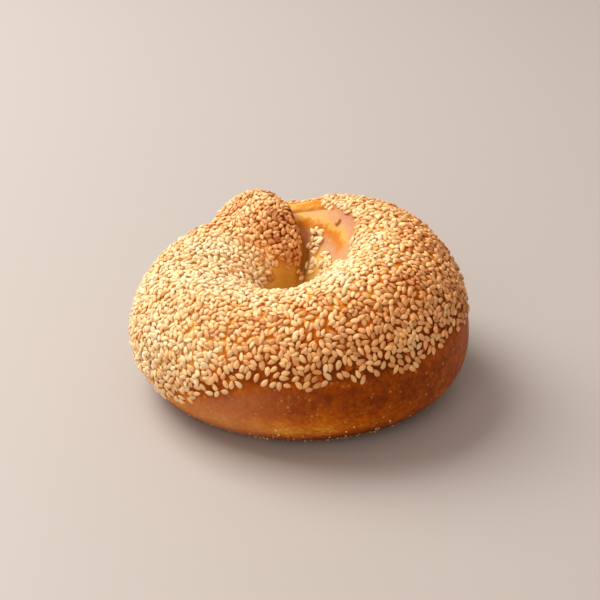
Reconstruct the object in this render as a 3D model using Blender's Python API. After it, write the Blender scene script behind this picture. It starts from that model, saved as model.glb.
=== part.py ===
"""A sesame bagel: one piece of baked dough, rolled into a rope and closed into a ring.

The rope's two ends overlap at the back of the ring. The upper end is a thick, high lobe that leans
over the lower end, with a crease between them that runs down into the hole. Beside the crease the
lower end's inner flank is a shallow hollow. The ring is lower on the left and higher on the right,
and it rests on a flat band under its belly.

The whole surface is one formula. A point has two angles: the turn round the ring, counted from the
crease, and the section angle round the dough's section, which is 0 at the outermost point, 90 at
the crest, 180 in the hole's neck and 270 underneath. Metres and degrees, +Z up, the front of the
bagel towards -Y.
"""

import math

import bmesh
import bpy
import numpy as np

# Driving dimensions of the ring
RING_HALF_X = 0.0507          # half of the ring's width, left to right
RING_HALF_Y = 0.0485          # half of the ring's depth, front to back
HOLE_X = -0.0035              # the hole sits a little left of the middle
HOLE_Y = 0.0005
HOLE_RADIUS = 0.0066          # at its neck
BELLY_HEIGHT = 0.0178         # where the dough's section is widest
BASE_PRESS = 1.14             # above 1, the section's foot is pressed flat
CREST_HEIGHT = 0.0427         # mean height of the ring's crest
CREST_RISE_X = 0.0052         # how much higher the crest is on the right than the mean
CREST_RISE_Y = 0.0018         # and at the back

# Hand-rolled unevenness
CREST_WAVE = 0.0004           # four low swells round the crest
CREST_WAVE_TURN = 35.0        # direction of one of them
OUTLINE_WAVE = 0.011          # three swells of the outline, as a share of its radius
OUTLINE_WAVE_TURN = 205.0
NECK_PINCH = 0.055            # the outline is pinched beside the lobe, as a share
NECK_TURN = 24.0
NECK_REACH = 11.0
SHOULDER_SWELL = 0.030        # and swells again beyond that
SHOULDER_TURN = 50.0
SHOULDER_REACH = 16.0
FOOT_SHARE = 0.3              # how much of the pinch and the swell is left at the foot
FOOT_FULLNESS = 0.018         # the foot is fuller at the front right, as a share
FOOT_AZIMUTH = -38.0          # its direction
FOOT_FOCUS = 3.7              # the higher, the narrower it is

# The seam where the rope's ends overlap
SEAM_AZIMUTH = 97.0           # its direction from +X, at the crest
SEAM_LEAN_INSIDE = 25.0       # it leans to the right on its way into the hole
SEAM_LEAN_OUTSIDE = 13.0      # and to the left on its way down the outside
LEAN_REACH = 70.0             # how far from the seam the lean fades out
SEAM_STRETCH = 0.006          # distances from the seam are stretched by this near the hole

# The lobe: the rope's upper end
LOBE_RISE = 0.0052            # how far it swells out of the ring
LOBE_END = 15.0               # turn over which its rounded end climbs
LOBE_END_ROUNDING = 0.75      # 0.5 is a half circle, and more is flatter
LOBE_TAIL_START = 15.0        # turn from which it sinks back into the ring
LOBE_TAIL_OUTSIDE = 17.0      # and how long it takes, on the outside
LOBE_TAIL_INSIDE = 46.0       # and towards the hole
LOBE_UNDERCUT = (136.0, 163.0)   # section angles over which it draws back above the hole
LOBE_OVERHANG = 0.0017        # how far its end leans over the crease
OVERHANG_DISTANCE = 0.0028    # where it leans most, from the crease
OVERHANG_WIDTH = 0.0022

# The crease between the ends
CREASE_DEPTH = 0.0036
CREASE_WIDTH = 0.0017
CREASE_SHIFT = -0.0006        # its floor lies a little to the right of the seam
CREASE_INSIDE = (92.0, 118.0, 148.0, 180.0)   # section angles: starts, full, full, fades out
CREASE_OUTSIDE = 0.45         # share of its depth on the ring's outside
CREASE_OVER_CREST = 0.25      # and over the crest

# The lower end: thinner beside the crease, with a bare hollow on its inner flank
LOWER_END_DROP = 0.0012
HOLLOW_DEPTH = 0.0030
HOLLOW_TURN = -46.0           # middle of the hollow, to the right of the crease
HOLLOW_REACH = 44.0
HOLLOW_SECTION = 126.0        # middle of the hollow round the section
HOLLOW_SPREAD = 21.0

# How finely the surface is faceted
COLUMNS = 100
ROWS = 46
CROWDING = 2.4                # how much closer the columns stand at the seam
CROWDED_TURN = -8.0
CROWDED_REACH = 34.0

CRUST_COLOUR = (0.42, 0.19, 0.06, 1.0)
CRUST_ROUGHNESS = 0.5


def hump(value, centre, width):
    """A smooth bell, 1 at its centre."""
    return np.exp(-(((value - centre) / width) ** 2))


def ramp(low, high, value):
    """A smooth climb from 0 at low to 1 at high."""
    share = np.clip((value - low) / (high - low), 0.0, 1.0)
    return share * share * (3.0 - 2.0 * share)


def rounded_end(share):
    """The profile of a rope's end: steep at 0, level at 1."""
    rest = 1.0 - np.clip(share, 0.0, 1.0)
    return (1.0 - rest * rest) ** LOBE_END_ROUNDING


def column_turns():
    """The turns of the columns round the ring, crowded together near the seam."""
    steps_per_turn = 7200
    turns = np.linspace(-180.0, 180.0, steps_per_turn + 1)
    density = 1.0 + CROWDING * hump(turns, CROWDED_TURN, CROWDED_REACH)
    travelled = np.concatenate([[0.0], np.cumsum(0.5 * (density[1:] + density[:-1]))])
    marks = np.linspace(0.0, travelled[-1], COLUMNS, endpoint=False)
    return np.interp(marks, travelled, turns)


def azimuth(turn, section):
    """Direction of a point round the ring from +X, with the seam's lean, in radians."""
    sideways = np.cos(np.radians(section))
    most = np.where(sideways < 0.0, SEAM_LEAN_INSIDE, SEAM_LEAN_OUTSIDE)
    return np.radians(SEAM_AZIMUTH + turn + most * sideways * hump(turn, 0.0, LEAN_REACH))


def outer_radius(turn, section, direction):
    """Radius of the ring's outline: an ellipse, with a neck and a shoulder left of the lobe."""
    ellipse = 1.0 / np.hypot(np.cos(direction) / RING_HALF_X, np.sin(direction) / RING_HALF_Y)
    wave = OUTLINE_WAVE * np.cos(3.0 * (direction - math.radians(OUTLINE_WAVE_TURN)))
    neck = NECK_PINCH * hump(turn, NECK_TURN, NECK_REACH)
    shoulder = SHOULDER_SWELL * hump(turn, SHOULDER_TURN, SHOULDER_REACH)
    above_foot = ramp(-0.6, 0.4, np.sin(np.radians(section)))
    share = FOOT_SHARE + (1.0 - FOOT_SHARE) * above_foot
    away = 1.0 - np.cos(direction - math.radians(FOOT_AZIMUTH))
    fullness = FOOT_FULLNESS * (1.0 - above_foot) * np.exp(-FOOT_FOCUS * away)
    return ellipse * (1.0 + wave + share * (shoulder - neck) + fullness)


def crest_height(direction):
    """Height of the crest round the ring, before the lobe is added."""
    rise = CREST_RISE_X * np.cos(direction) + CREST_RISE_Y * np.sin(direction)
    wave = CREST_WAVE * np.cos(4.0 * (direction - math.radians(CREST_WAVE_TURN)))
    return CREST_HEIGHT + rise + wave


def seam_distance(turn, radius):
    """Distance from the seam along the surface, to the left of it, stretched near the hole."""
    return np.radians(turn) * (0.75 * radius + SEAM_STRETCH)


def lobe_swell(turn, section):
    """How far the upper end of the rope stands out of the ring."""
    inside = ramp(70.0, 125.0, section)
    tail = LOBE_TAIL_OUTSIDE + (LOBE_TAIL_INSIDE - LOBE_TAIL_OUTSIDE) * inside
    along = rounded_end(turn / LOBE_END) * (1.0 - ramp(0.0, tail, turn - LOBE_TAIL_START))
    around = ramp(-0.5, 0.95, np.sin(np.radians(section)))
    undercut = ramp(LOBE_UNDERCUT[0], LOBE_UNDERCUT[1], section) * (section < 270.0)
    return LOBE_RISE * along * around * (1.0 - undercut)


def crease_cut(distance, section):
    """Depth of the crease: deepest on the way into the hole, shallow over the crest."""
    starts, full, full_until, fades = CREASE_INSIDE
    inside = ramp(starts, full, section) * (1.0 - ramp(full_until, fades, section))
    outside = CREASE_OUTSIDE * (1.0 - ramp(40.0, 88.0, section) + ramp(318.0, 345.0, section))
    crest = CREASE_OVER_CREST * hump(section, 90.0, 22.0)
    return CREASE_DEPTH * (inside + outside + crest) * hump(distance, CREASE_SHIFT, CREASE_WIDTH)


def lower_end_sink(turn, section):
    """How far the lower end lies under the ring: thinner at its tip, hollow on its inner flank."""
    right_of_seam = 1.0 - ramp(-8.0, 2.0, turn)
    along = hump(turn, HOLLOW_TURN, HOLLOW_REACH) * right_of_seam
    hollow = HOLLOW_DEPTH * along * hump(section, HOLLOW_SECTION, HOLLOW_SPREAD)
    thinning = LOWER_END_DROP * hump(turn, -6.0, 16.0) * hump(section, 88.0, 50.0)
    return hollow + thinning


def overhang(distance, section):
    """How far the lobe's end leans sideways over the crease."""
    reach = ramp(84.0, 110.0, section) * (1.0 - ramp(138.0, 168.0, section))
    return LOBE_OVERHANG * reach * hump(distance, OVERHANG_DISTANCE, OVERHANG_WIDTH)


def dough_point(turn, section):
    """Points of the bagel's surface for arrays of turns and section angles."""
    direction = azimuth(turn, section)
    outer = outer_radius(turn, section, direction)
    outer_x, outer_y = outer * np.cos(direction), outer * np.sin(direction)
    inner_x = HOLE_X + HOLE_RADIUS * np.cos(direction)
    inner_y = HOLE_Y + HOLE_RADIUS * np.sin(direction)
    half_x, half_y = 0.5 * (outer_x - inner_x), 0.5 * (outer_y - inner_y)
    half_width = np.hypot(half_x, half_y)
    half_height = crest_height(direction) - BELLY_HEIGHT

    # The section is an ellipse, and every relief moves its surface along the ellipse's normal.
    outward, upward = np.cos(np.radians(section)), np.sin(np.radians(section))
    radius = np.hypot(inner_x + half_x * (1.0 + outward) - HOLE_X,
                      inner_y + half_y * (1.0 + outward) - HOLE_Y)
    distance = seam_distance(turn, radius)
    growth = lobe_swell(turn, section) - crease_cut(distance, section)
    growth = growth - lower_end_sink(turn, section)
    length = np.hypot(outward * half_height, upward * half_width)
    reach = 1.0 + outward + growth * outward * half_height / (length * half_width)
    x, y = inner_x + half_x * reach - HOLE_X, inner_y + half_y * reach - HOLE_Y

    # The overhang turns points about the hole's axis.
    lean = overhang(distance, section) / radius
    above = BELLY_HEIGHT + half_height * upward + growth * upward * half_width / length
    below = BELLY_HEIGHT * (1.0 + BASE_PRESS * upward)
    return np.stack([HOLE_X + x * np.cos(lean) + y * np.sin(lean),
                     HOLE_Y + y * np.cos(lean) - x * np.sin(lean),
                     np.maximum(np.where(upward >= 0.0, above, below), 0.0)], axis=-1)


def centred(points):
    """The same points with the middle of their box over the origin."""
    ground = points[..., :2].reshape(-1, 2)
    middle = 0.5 * (ground.min(axis=0) + ground.max(axis=0))
    return points - np.append(middle, 0.0)


def crust_material():
    """Baked dough, golden brown and slightly glossy."""
    material = bpy.data.materials.new("crust")
    material.use_nodes = True
    shader = material.node_tree.nodes["Principled BSDF"]
    shader.inputs["Base Color"].default_value = CRUST_COLOUR
    shader.inputs["Roughness"].default_value = CRUST_ROUGHNESS
    shader.inputs["Metallic"].default_value = 0.0
    return material


def make_bagel():
    """The ring of dough as one closed mesh, a grid of columns and rows joined end to end."""
    sections = np.linspace(0.0, 360.0, ROWS, endpoint=False)
    points = centred(dough_point(*np.meshgrid(column_turns(), sections, indexing="ij")))
    builder = bmesh.new()
    grid = [[builder.verts.new(points[column, row]) for row in range(ROWS)]
            for column in range(COLUMNS)]
    for column in range(COLUMNS):
        for row in range(ROWS):
            beside, above = (column + 1) % COLUMNS, (row + 1) % ROWS
            builder.faces.new((grid[column][row], grid[beside][row],
                               grid[beside][above], grid[column][above]))
    bmesh.ops.recalc_face_normals(builder, faces=builder.faces)
    mesh = bpy.data.meshes.new("bagel")
    builder.to_mesh(mesh)
    builder.free()
    mesh.shade_smooth()
    mesh.materials.append(crust_material())
    bagel = bpy.data.objects.new("bagel", mesh)
    bpy.context.scene.collection.objects.link(bagel)
    return bagel


for leftover in list(bpy.data.objects):
    bpy.data.objects.remove(leftover)

make_bagel()
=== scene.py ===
# %% [markdown]
# # A sesame bagel
#
# A bagel is a rope of yeast dough whose two ends are laid over each other to close a ring. The
# ring is boiled, pressed face down into sesame seeds, and baked. This script makes one in four
# steps: the crust as one fine mesh, the seeds one by one as they would come to rest on it, the
# baked finishes, and a plain table to see it on.
#
# The CAD part of the bagel is loaded first. It is a coarse solid for weighing and for collision,
# so the fine crust made here takes its place, in the same metres and the same frame.

# %% Load the part
import math

import bpy
import numpy as np
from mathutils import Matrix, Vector


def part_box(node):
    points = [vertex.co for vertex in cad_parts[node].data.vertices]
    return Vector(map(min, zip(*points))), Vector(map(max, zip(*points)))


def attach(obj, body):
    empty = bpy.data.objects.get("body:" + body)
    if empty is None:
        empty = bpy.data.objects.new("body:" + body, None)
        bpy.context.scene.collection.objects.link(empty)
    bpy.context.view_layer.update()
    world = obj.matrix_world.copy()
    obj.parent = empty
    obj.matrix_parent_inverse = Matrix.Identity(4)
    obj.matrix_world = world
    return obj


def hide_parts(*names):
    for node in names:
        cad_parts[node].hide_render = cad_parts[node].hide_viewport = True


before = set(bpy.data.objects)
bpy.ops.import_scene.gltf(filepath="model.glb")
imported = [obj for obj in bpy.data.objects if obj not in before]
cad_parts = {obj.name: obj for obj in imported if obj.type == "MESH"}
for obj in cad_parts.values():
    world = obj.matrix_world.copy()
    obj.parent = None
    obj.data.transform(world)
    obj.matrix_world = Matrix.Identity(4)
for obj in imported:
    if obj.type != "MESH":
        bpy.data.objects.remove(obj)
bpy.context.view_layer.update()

MM = 0.001

# %% [markdown]
# ## The shape of the dough
#
# The real ring was rolled by hand, so nothing on it is round or level: it is lower on one side,
# its outline swells and pinches, and its upper end stands over the lower one. It could be
# sculpted, but then it could not be made again at another fineness. Here the whole surface is one
# formula of two angles, which suits a ring of dough well. The *turn* runs round the ring from the
# seam, in degrees. The *section* angle runs round the dough's section: 0 is the outermost point,
# 90 the crest, 180 the neck of the hole and 270 the underside.
#
# Three small helpers shape every feature: a bell, a smooth climb, and a climb that fades again.
# A fourth brings directions to the same length.

# %% Helpers that shape the features
def hump(value, centre, width):
    """A smooth bell, 1 at its centre."""
    return np.exp(-(((value - centre) / width) ** 2))


def ramp(low, high, value):
    """A smooth climb from 0 at low to 1 at high."""
    share = np.clip((value - low) / (high - low), 0.0, 1.0)
    return share * share * (3.0 - 2.0 * share)


def window(start, full, full_until, end, value):
    """Climbs from start to full, stays, and is gone again at end."""
    return ramp(start, full, value) * (1.0 - ramp(full_until, end, value))


def unit(vectors):
    """The same directions at a length of 1."""
    return vectors / np.linalg.norm(vectors, axis=-1, keepdims=True)


# %% [markdown]
# ### The ring
#
# The ring's plan is an ellipse with three faint swells, a pinched neck beside the seam and a
# shoulder beyond it. Its foot is fuller at the front right, and the hole sits a little off the
# middle. The crest is higher on the right and at the back, where the dough rose more.

# %% The ring's outline and crest
RING_HALF_X, RING_HALF_Y = 50.7 * MM, 48.5 * MM
HOLE_X, HOLE_Y, HOLE_RADIUS = -3.5 * MM, 0.5 * MM, 6.6 * MM
BELLY_HEIGHT = 17.8 * MM      # where the section is widest
BASE_PRESS = 1.14             # above 1, the foot is pressed flat
CREST_HEIGHT = 42.7 * MM
SEAM_AZIMUTH = 97.0           # the seam's direction from +X
SEAM_LEAN_INSIDE, SEAM_LEAN_OUTSIDE, LEAN_REACH = 25.0, 13.0, 70.0


def azimuth(turn, section):
    """Direction of a point round the ring, with the seam's lean, in radians."""
    sideways = np.cos(np.radians(section))
    most = np.where(sideways < 0.0, SEAM_LEAN_INSIDE, SEAM_LEAN_OUTSIDE)
    return np.radians(SEAM_AZIMUTH + turn + most * sideways * hump(turn, 0.0, LEAN_REACH))


def outer_radius(turn, section, direction):
    """Radius of the outline, with its neck and shoulder left of the seam."""
    ellipse = 1.0 / np.hypot(np.cos(direction) / RING_HALF_X, np.sin(direction) / RING_HALF_Y)
    swells = 0.011 * np.cos(3.0 * (direction - math.radians(205.0)))
    pinch = 0.030 * hump(turn, 50.0, 16.0) - 0.055 * hump(turn, 24.0, 11.0)
    above_foot = ramp(-0.6, 0.4, np.sin(np.radians(section)))
    fullness = 0.018 * np.exp(-3.7 * (1.0 - np.cos(direction - math.radians(-38.0))))
    pinched = (0.3 + 0.7 * above_foot) * pinch
    return ellipse * (1.0 + swells + pinched + (1.0 - above_foot) * fullness)


def crest_height(direction):
    """Height of the crest round the ring."""
    rise = 5.2 * MM * np.cos(direction) + 1.8 * MM * np.sin(direction)
    return CREST_HEIGHT + rise + 0.4 * MM * np.cos(4.0 * (direction - math.radians(35.0)))


# %% [markdown]
# ### The overlapping ends
#
# The upper end of the rope is a lobe that swells out of the ring and leans over a crease. Its
# profile climbs steeply at the seam and sinks back slowly, as a rope's end does when it is
# pressed down. On the other side of the crease the lower end was stretched thin, so it lies a
# little lower and its inner flank is hollow.

# %% The lobe, the crease and the hollow
LOBE_RISE, LOBE_OVERHANG, CREASE_DEPTH = 5.2 * MM, 1.7 * MM, 3.6 * MM
HOLLOW_DEPTH, THINNING = 3.0 * MM, 1.2 * MM


def across_seam(turn, radius):
    """Distance from the seam, measured across it, at a radius from the hole's middle."""
    return np.radians(turn) * (0.75 * radius + 6.0 * MM)


def lobe_swell(turn, section):
    """How far the upper end stands out of the ring."""
    rest = 1.0 - np.clip(turn / 15.0, 0.0, 1.0)
    tail = 17.0 + 29.0 * ramp(70.0, 125.0, section)
    along = (1.0 - rest * rest) ** 0.75 * (1.0 - ramp(0.0, tail, turn - 15.0))
    around = ramp(-0.5, 0.95, np.sin(np.radians(section)))
    undercut = ramp(136.0, 163.0, section) * (section < 270.0)
    return LOBE_RISE * along * around * (1.0 - undercut)


def crease_cut(distance, section):
    """Depth of the crease: deepest on the way into the hole."""
    inside = window(92.0, 118.0, 148.0, 180.0, section)
    outside = 0.45 * (1.0 - ramp(40.0, 88.0, section) + ramp(318.0, 345.0, section))
    depth = CREASE_DEPTH * (inside + outside + 0.25 * hump(section, 90.0, 22.0))
    return depth * hump(distance, -0.6 * MM, 1.7 * MM)


def lower_end_sink(turn, section):
    """How far the lower end lies under the ring."""
    along = hump(turn, -46.0, 44.0) * (1.0 - ramp(-8.0, 2.0, turn))
    thinning = THINNING * hump(turn, -6.0, 16.0) * hump(section, 88.0, 50.0)
    return HOLLOW_DEPTH * along * hump(section, 126.0, 21.0) + thinning


def overhang(distance, section):
    """How far the lobe leans over the crease."""
    reach = window(84.0, 110.0, 138.0, 168.0, section)
    return LOBE_OVERHANG * reach * hump(distance, 2.8 * MM, 2.2 * MM)


# %% [markdown]
# ### From angles to points
#
# Every relief moves the surface along the normal of the section's ellipse, so that fine details
# can be added later with the same call: `relief` is an extra height in metres, for each point.

# %% Points of the dough's surface
def dough_point(turn, section, relief=0.0):
    """Points of the surface for arrays of turns and section angles."""
    direction = azimuth(turn, section)
    outer = outer_radius(turn, section, direction)
    outer_x, outer_y = outer * np.cos(direction), outer * np.sin(direction)
    inner_x = HOLE_X + HOLE_RADIUS * np.cos(direction)
    inner_y = HOLE_Y + HOLE_RADIUS * np.sin(direction)
    half_x, half_y = 0.5 * (outer_x - inner_x), 0.5 * (outer_y - inner_y)
    half_width = np.hypot(half_x, half_y)
    half_height = crest_height(direction) - BELLY_HEIGHT
    outward, upward = np.cos(np.radians(section)), np.sin(np.radians(section))
    radius = np.hypot(inner_x + half_x * (1.0 + outward) - HOLE_X,
                      inner_y + half_y * (1.0 + outward) - HOLE_Y)
    distance = across_seam(turn, radius)
    growth = lobe_swell(turn, section) - crease_cut(distance, section)
    growth = growth - lower_end_sink(turn, section) + relief
    length = np.hypot(outward * half_height, upward * half_width)
    reach = 1.0 + outward + growth * outward * half_height / (length * half_width)
    x, y = inner_x + half_x * reach - HOLE_X, inner_y + half_y * reach - HOLE_Y
    lean = overhang(distance, section) / radius
    above = BELLY_HEIGHT + half_height * upward + growth * upward * half_width / length
    below = BELLY_HEIGHT * (1.0 + BASE_PRESS * upward)
    return np.stack([HOLE_X + x * np.cos(lean) + y * np.sin(lean),
                     HOLE_Y + y * np.cos(lean) - x * np.sin(lean),
                     np.maximum(np.where(upward >= 0.0, above, below), 0.0)], axis=-1)


# %% [markdown]
# The part stands with the middle of its box over the origin. The same shift is worked out here
# once, from the bare formula, and kept for every later call. Comparing the formula with the
# part's own mesh shows that both are the same bagel.

# %% Bring the formula into the part's frame
def whole_grid(columns, rows):
    """Turns and section angles of an even grid over the whole surface."""
    turns = np.linspace(-180.0, 180.0, columns, endpoint=False)
    return np.meshgrid(turns, np.linspace(0.0, 360.0, rows, endpoint=False), indexing="ij")


plan = dough_point(*whole_grid(720, 92))[..., :2].reshape(-1, 2)
SHIFT = np.append(-0.5 * (plan.min(axis=0) + plan.max(axis=0)), 0.0)


def crust_point(turn, section, relief=0.0):
    """Points of the crust in the part's frame."""
    return dough_point(turn, section, relief) + SHIFT


low, high = np.array(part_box("bagel"))
fine = crust_point(*whole_grid(720, 360)).reshape(-1, 3)
print("formula against the part, mm:", np.round((fine.min(axis=0) - low) / MM, 2),
      np.round((fine.max(axis=0) - high) / MM, 2))

# %% [markdown]
# ## Where the seeds are, and where the dough is bare
#
# The ring was dipped at a tilt, so its left side is seeded almost down to the table and its front
# and right only down to the belly. No seeds reach the stretched inner flank of the lower end,
# which was folded away under the lobe when the face was dipped. Both borders are written as
# functions of section angle and of direction, in degrees from +X between -180 and 180, because
# the crust's colours and the seeds need them.

# %% The seed line and the bare flank
def seed_line(direction):
    """Height of the lowest seeds round the outside."""
    around = np.mod(direction, 360.0)
    front = ramp(200.0, 264.0, around)
    back = 1.0 - ramp(20.0, 175.0, around)
    rise = np.where(around > 187.0, front, back)
    return (6.5 + 18.0 * rise + 2.6 * hump(around, 335.0, 34.0) + hump(around, 22.0, 30.0)) * MM


def flank_edges(direction):
    """Upper and lower section angle of the bare flank."""
    upper = 121.0 - 19.5 * ramp(8.0, 42.0, direction) - 6.5 * ramp(46.0, 74.0, direction)
    upper = upper - 8.0 * ramp(-16.0, -52.0, direction) - 34.0 * ramp(73.0, 82.0, direction)
    lower = 121.0 + 20.0 * ramp(-42.0, 16.0, direction) + 6.0 * ramp(52.0, 80.0, direction)
    return upper, lower


def flank_band(section, direction):
    """How far down the flank a place lies, across its slanting bands, from 0 to 1."""
    return (section - 85.5 - 0.345 * (87.0 - np.maximum(direction, 20.0))) / 45.0


def bare_flank(turn, section, direction):
    """1 on the bare flank, with a soft border about a seed wide."""
    upper, lower = flank_edges(direction)
    inside = np.minimum(section - upper, lower - section)
    inside = np.where((direction > -47.0) & (turn < 2.0) & (turn > -150.0), inside, -20.0)
    return ramp(-2.0, 2.5, inside)


# %% [markdown]
# ## Fine relief
#
# The part only holds what can be felt. The real crust also has a thin fold line along the top of
# the bare flank, a pocket in it that caught a few seeds, and a pale raised rim where the seeds
# begin. Beside the lobe the crease opens into a wide shallow valley. All of these are heights of
# about a millimetre, added to the same formula, and the seeds will be laid on them too.
#
# First come the measures that these details need: the directions along and out of the surface at
# a place, and its distances from the hole and from the seam.

# %% Directions and distances at a place
def tangents(turn, section):
    """Unit vectors along the turn, along the section and out of the surface."""
    step = 0.05
    along = unit(crust_point(turn + step, section) - crust_point(turn - step, section))
    around = crust_point(turn, section + step) - crust_point(turn, section - step)
    out = unit(np.cross(along, around))
    return along, np.cross(out, along), out


def direction_of(place):
    """Direction of a place from the middle, in degrees from +X."""
    return np.degrees(np.arctan2(place[..., 1], place[..., 0]))


def hole_distance(place):
    """Distance from the hole's middle."""
    return np.hypot(place[..., 0] - SHIFT[0] - HOLE_X, place[..., 1] - SHIFT[1] - HOLE_Y)


def seam_distance(turn, place):
    """Distance from the seam, across it."""
    return across_seam(turn, hole_distance(place))


# %% [markdown]
# The pocket is a shallow bowl on the bare flank, with a lip on its right; the shade under the lip
# is painted into the crust's colour.
# Pressing a ball into the mesh would move its points sideways. A smooth step over the distance
# from the pocket's middle only moves them in and out.

# %% The pocket
POCKET_TURN, POCKET_SECTION = -17.5, 129.0
POCKET_HALF_LENGTH, POCKET_HALF_WIDTH = 5.0 * MM, 2.3 * MM


def pocket_place(turn, section):
    """Distances from the pocket's middle along its length and its width, in half lengths."""
    middle = crust_point(np.array(POCKET_TURN), np.array(POCKET_SECTION))
    across, down, _ = tangents(np.array(POCKET_TURN), np.array(POCKET_SECTION))
    away = crust_point(turn, section) - middle
    return away @ down / POCKET_HALF_LENGTH, away @ across / POCKET_HALF_WIDTH


def pocket_depth(turn, section):
    """0 outside the pocket and 1 in its middle."""
    down, across = pocket_place(turn, section)
    near = (np.abs(turn - POCKET_TURN) < 40.0) & (np.abs(section - POCKET_SECTION) < 35.0)
    return np.where(near, 1.0 - ramp(0.45, 1.12, np.hypot(down, across)), 0.0)


def pocket_lip(turn, section):
    """The pocket's edge on its right: a low lip, and the painted shade under it."""
    down, across = pocket_place(turn, section)
    near = np.abs(turn - POCKET_TURN) < 40.0
    return hump(np.hypot(down, across), 1.04, 0.17) * ramp(0.2, -0.6, across) * near


# %% [markdown]
# The other details are long and narrow. Each is a bell across its own line, faded out at the ends
# by a window along it.

# %% The valley, the fold and the rim
FOLD_SECTION = 95.5


def crease_valley(turn, section, place):
    """The wide brown valley between the rope's ends."""
    across = hump(seam_distance(turn, place), -1.2 * MM, 2.9 * MM)
    return across * window(94.0, 118.0, 150.0, 178.0, section)


def fold_line(turn, section):
    """The fold that runs from under the lobe along the top of the bare flank."""
    middle = FOLD_SECTION - 2.5 * hump(turn, -3.0, 9.0) + 2.0 * ramp(-22.0, -40.0, turn)
    return hump(section, middle, 2.6) * window(-44.0, -24.0, -6.0, 1.0, turn)


def seed_rim(turn, section, place):
    """The pale swollen rim along the right border of the bare flank."""
    upper, _ = flank_edges(direction_of(place))
    return hump(section, upper + 1.0, 2.8) * window(-125.0, -104.0, -68.0, -56.0, turn)


def formed_relief(turn, section, place):
    """Height of all these details at a place."""
    distance = seam_distance(turn, place)
    closed = hump(distance, -0.6 * MM, 1.7 * MM) * window(92.0, 118.0, 148.0, 180.0, section)
    dip = hump(distance, 3.4 * MM, 2.2 * MM) * window(84.0, 96.0, 118.0, 130.0, section)
    height = 1.5 * closed - crease_valley(turn, section, place) - dip
    height = height - 1.3 * pocket_depth(turn, section) + 0.35 * pocket_lip(turn, section)
    return MM * (height - 0.9 * fold_line(turn, section) + 0.5 * seed_rim(turn, section, place))


# %% [markdown]
# Boiling leaves small blisters and shallow dimples. They are placed like the seeds will be, at
# random but always the same for the same start number, and each one is a low bump of its own
# width. Adding them over a whole grid is quick when each bump only touches the points near it.

# %% Scatter low bumps over a grid
dice = np.random.default_rng(11)


def scatter_bumps(points, count, width_low, width_high, height_low, height_high):
    """Sum of low round bumps at random places of a grid of points."""
    flat = points.reshape(-1, 3)
    total = np.zeros(len(flat))
    order = np.argsort(flat[:, 0])
    sorted_x = flat[order, 0]
    for centre in flat[dice.integers(0, len(flat), count)]:
        width = dice.uniform(width_low, width_high)
        height = dice.uniform(height_low, height_high)
        first, last = np.searchsorted(sorted_x, [centre[0] - 2.5 * width, centre[0] + 2.5 * width])
        near = order[first:last]
        distance = np.linalg.norm(flat[near] - centre, axis=1)
        total[near] += height * np.exp(-((distance / width) ** 2))
    return total.reshape(points.shape[:-1])


# %% [markdown]
# ## The crust as one mesh
#
# A ring of dough is a torus, so its mesh is a grid whose last row and column join the first. The
# columns stand closer together at the seam, and the rows on the inner flank, where the shapes
# are small. The mesh is filled in one call from arrays, which is much faster than adding faces
# one at a time.

# %% The crust's grid
COLUMNS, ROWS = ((440, 220))


def crowded(start, end, count, density_of):
    """Angles from start to end, closer together where the density is higher."""
    angles = np.linspace(start, end, 7201)
    density = density_of(angles)
    travelled = np.concatenate([[0.0], np.cumsum(0.5 * (density[1:] + density[:-1]))])
    return np.interp(np.linspace(0.0, travelled[-1], count, endpoint=False), travelled, angles)


turn_steps = crowded(-180.0, 180.0, COLUMNS, lambda turns: 1.0 + 2.2 * hump(turns, -12.0, 34.0))
section_steps = crowded(0.0, 360.0, ROWS, lambda sections: 0.8 + hump(sections, 118.0, 42.0)
                        - 0.35 * hump(sections, 270.0, 50.0))
TURN, SECTION = np.meshgrid(turn_steps, section_steps, indexing="ij")
smooth = crust_point(TURN, SECTION)
DIRECTION = direction_of(smooth)
bare = bare_flank(TURN, SECTION, DIRECTION)
above_line = smooth[..., 2] - seed_line(DIRECTION)
in_hole = window(138.0, 150.0, 215.0, 250.0, SECTION)
seeded = ramp(-1.0 * MM, 2.0 * MM, above_line) * (1.0 - bare) * (1.0 - in_hole)
print(f"grid {COLUMNS} x {ROWS}: {2 * COLUMNS * ROWS} triangles")

# %% [markdown]
# The relief is the sum of the details. Bumps are left off the underside, which stays flat.

# %% The crust's relief
above_base = ramp(-0.75, -0.35, np.sin(np.radians(SECTION)))
blisters = scatter_bumps(smooth, 900, 0.7 * MM, 1.6 * MM, 0.04 * MM, 0.13 * MM)
dimples = scatter_bumps(smooth, 260, 2.0 * MM, 4.5 * MM, -0.16 * MM, 0.14 * MM)
relief = blisters * (1.0 - 0.8 * bare) + dimples * (1.0 - 0.7 * bare)
relief = relief + formed_relief(TURN, SECTION, smooth)
points = crust_point(TURN, SECTION, relief * above_base)
print("relief in mm:", round(relief.min() / MM, 2), "to", round(relief.max() / MM, 2))

# %% [markdown]
# A grid of points becomes a mesh with its four-cornered faces listed by number. Loops go round
# each face anticlockwise seen from outside, so that the normals point out of the dough. The map
# gives every face its own place on a flat sheet, so that colours can be baked onto the mesh.

# %% Turn a grid into a mesh
def array_mesh(name, points, corners, face_starts, places):
    """A smooth mesh filled from arrays, with each face corner's place on a flat map."""
    mesh = bpy.data.meshes.new(name)
    mesh.vertices.add(points.size // 3)
    mesh.vertices.foreach_set("co", points.astype(np.float32).ravel())
    mesh.loops.add(corners.size)
    mesh.loops.foreach_set("vertex_index", corners.astype(np.int32).ravel())
    mesh.polygons.add(face_starts.size)
    mesh.polygons.foreach_set("loop_start", face_starts.astype(np.int32).ravel())
    flat_map = mesh.uv_layers.new(name="OFBake")
    flat_map.data.foreach_set("uv", places.astype(np.float32).ravel())
    mesh.update(calc_edges=True)
    mesh.validate()
    mesh.shade_smooth()
    return mesh


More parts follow.
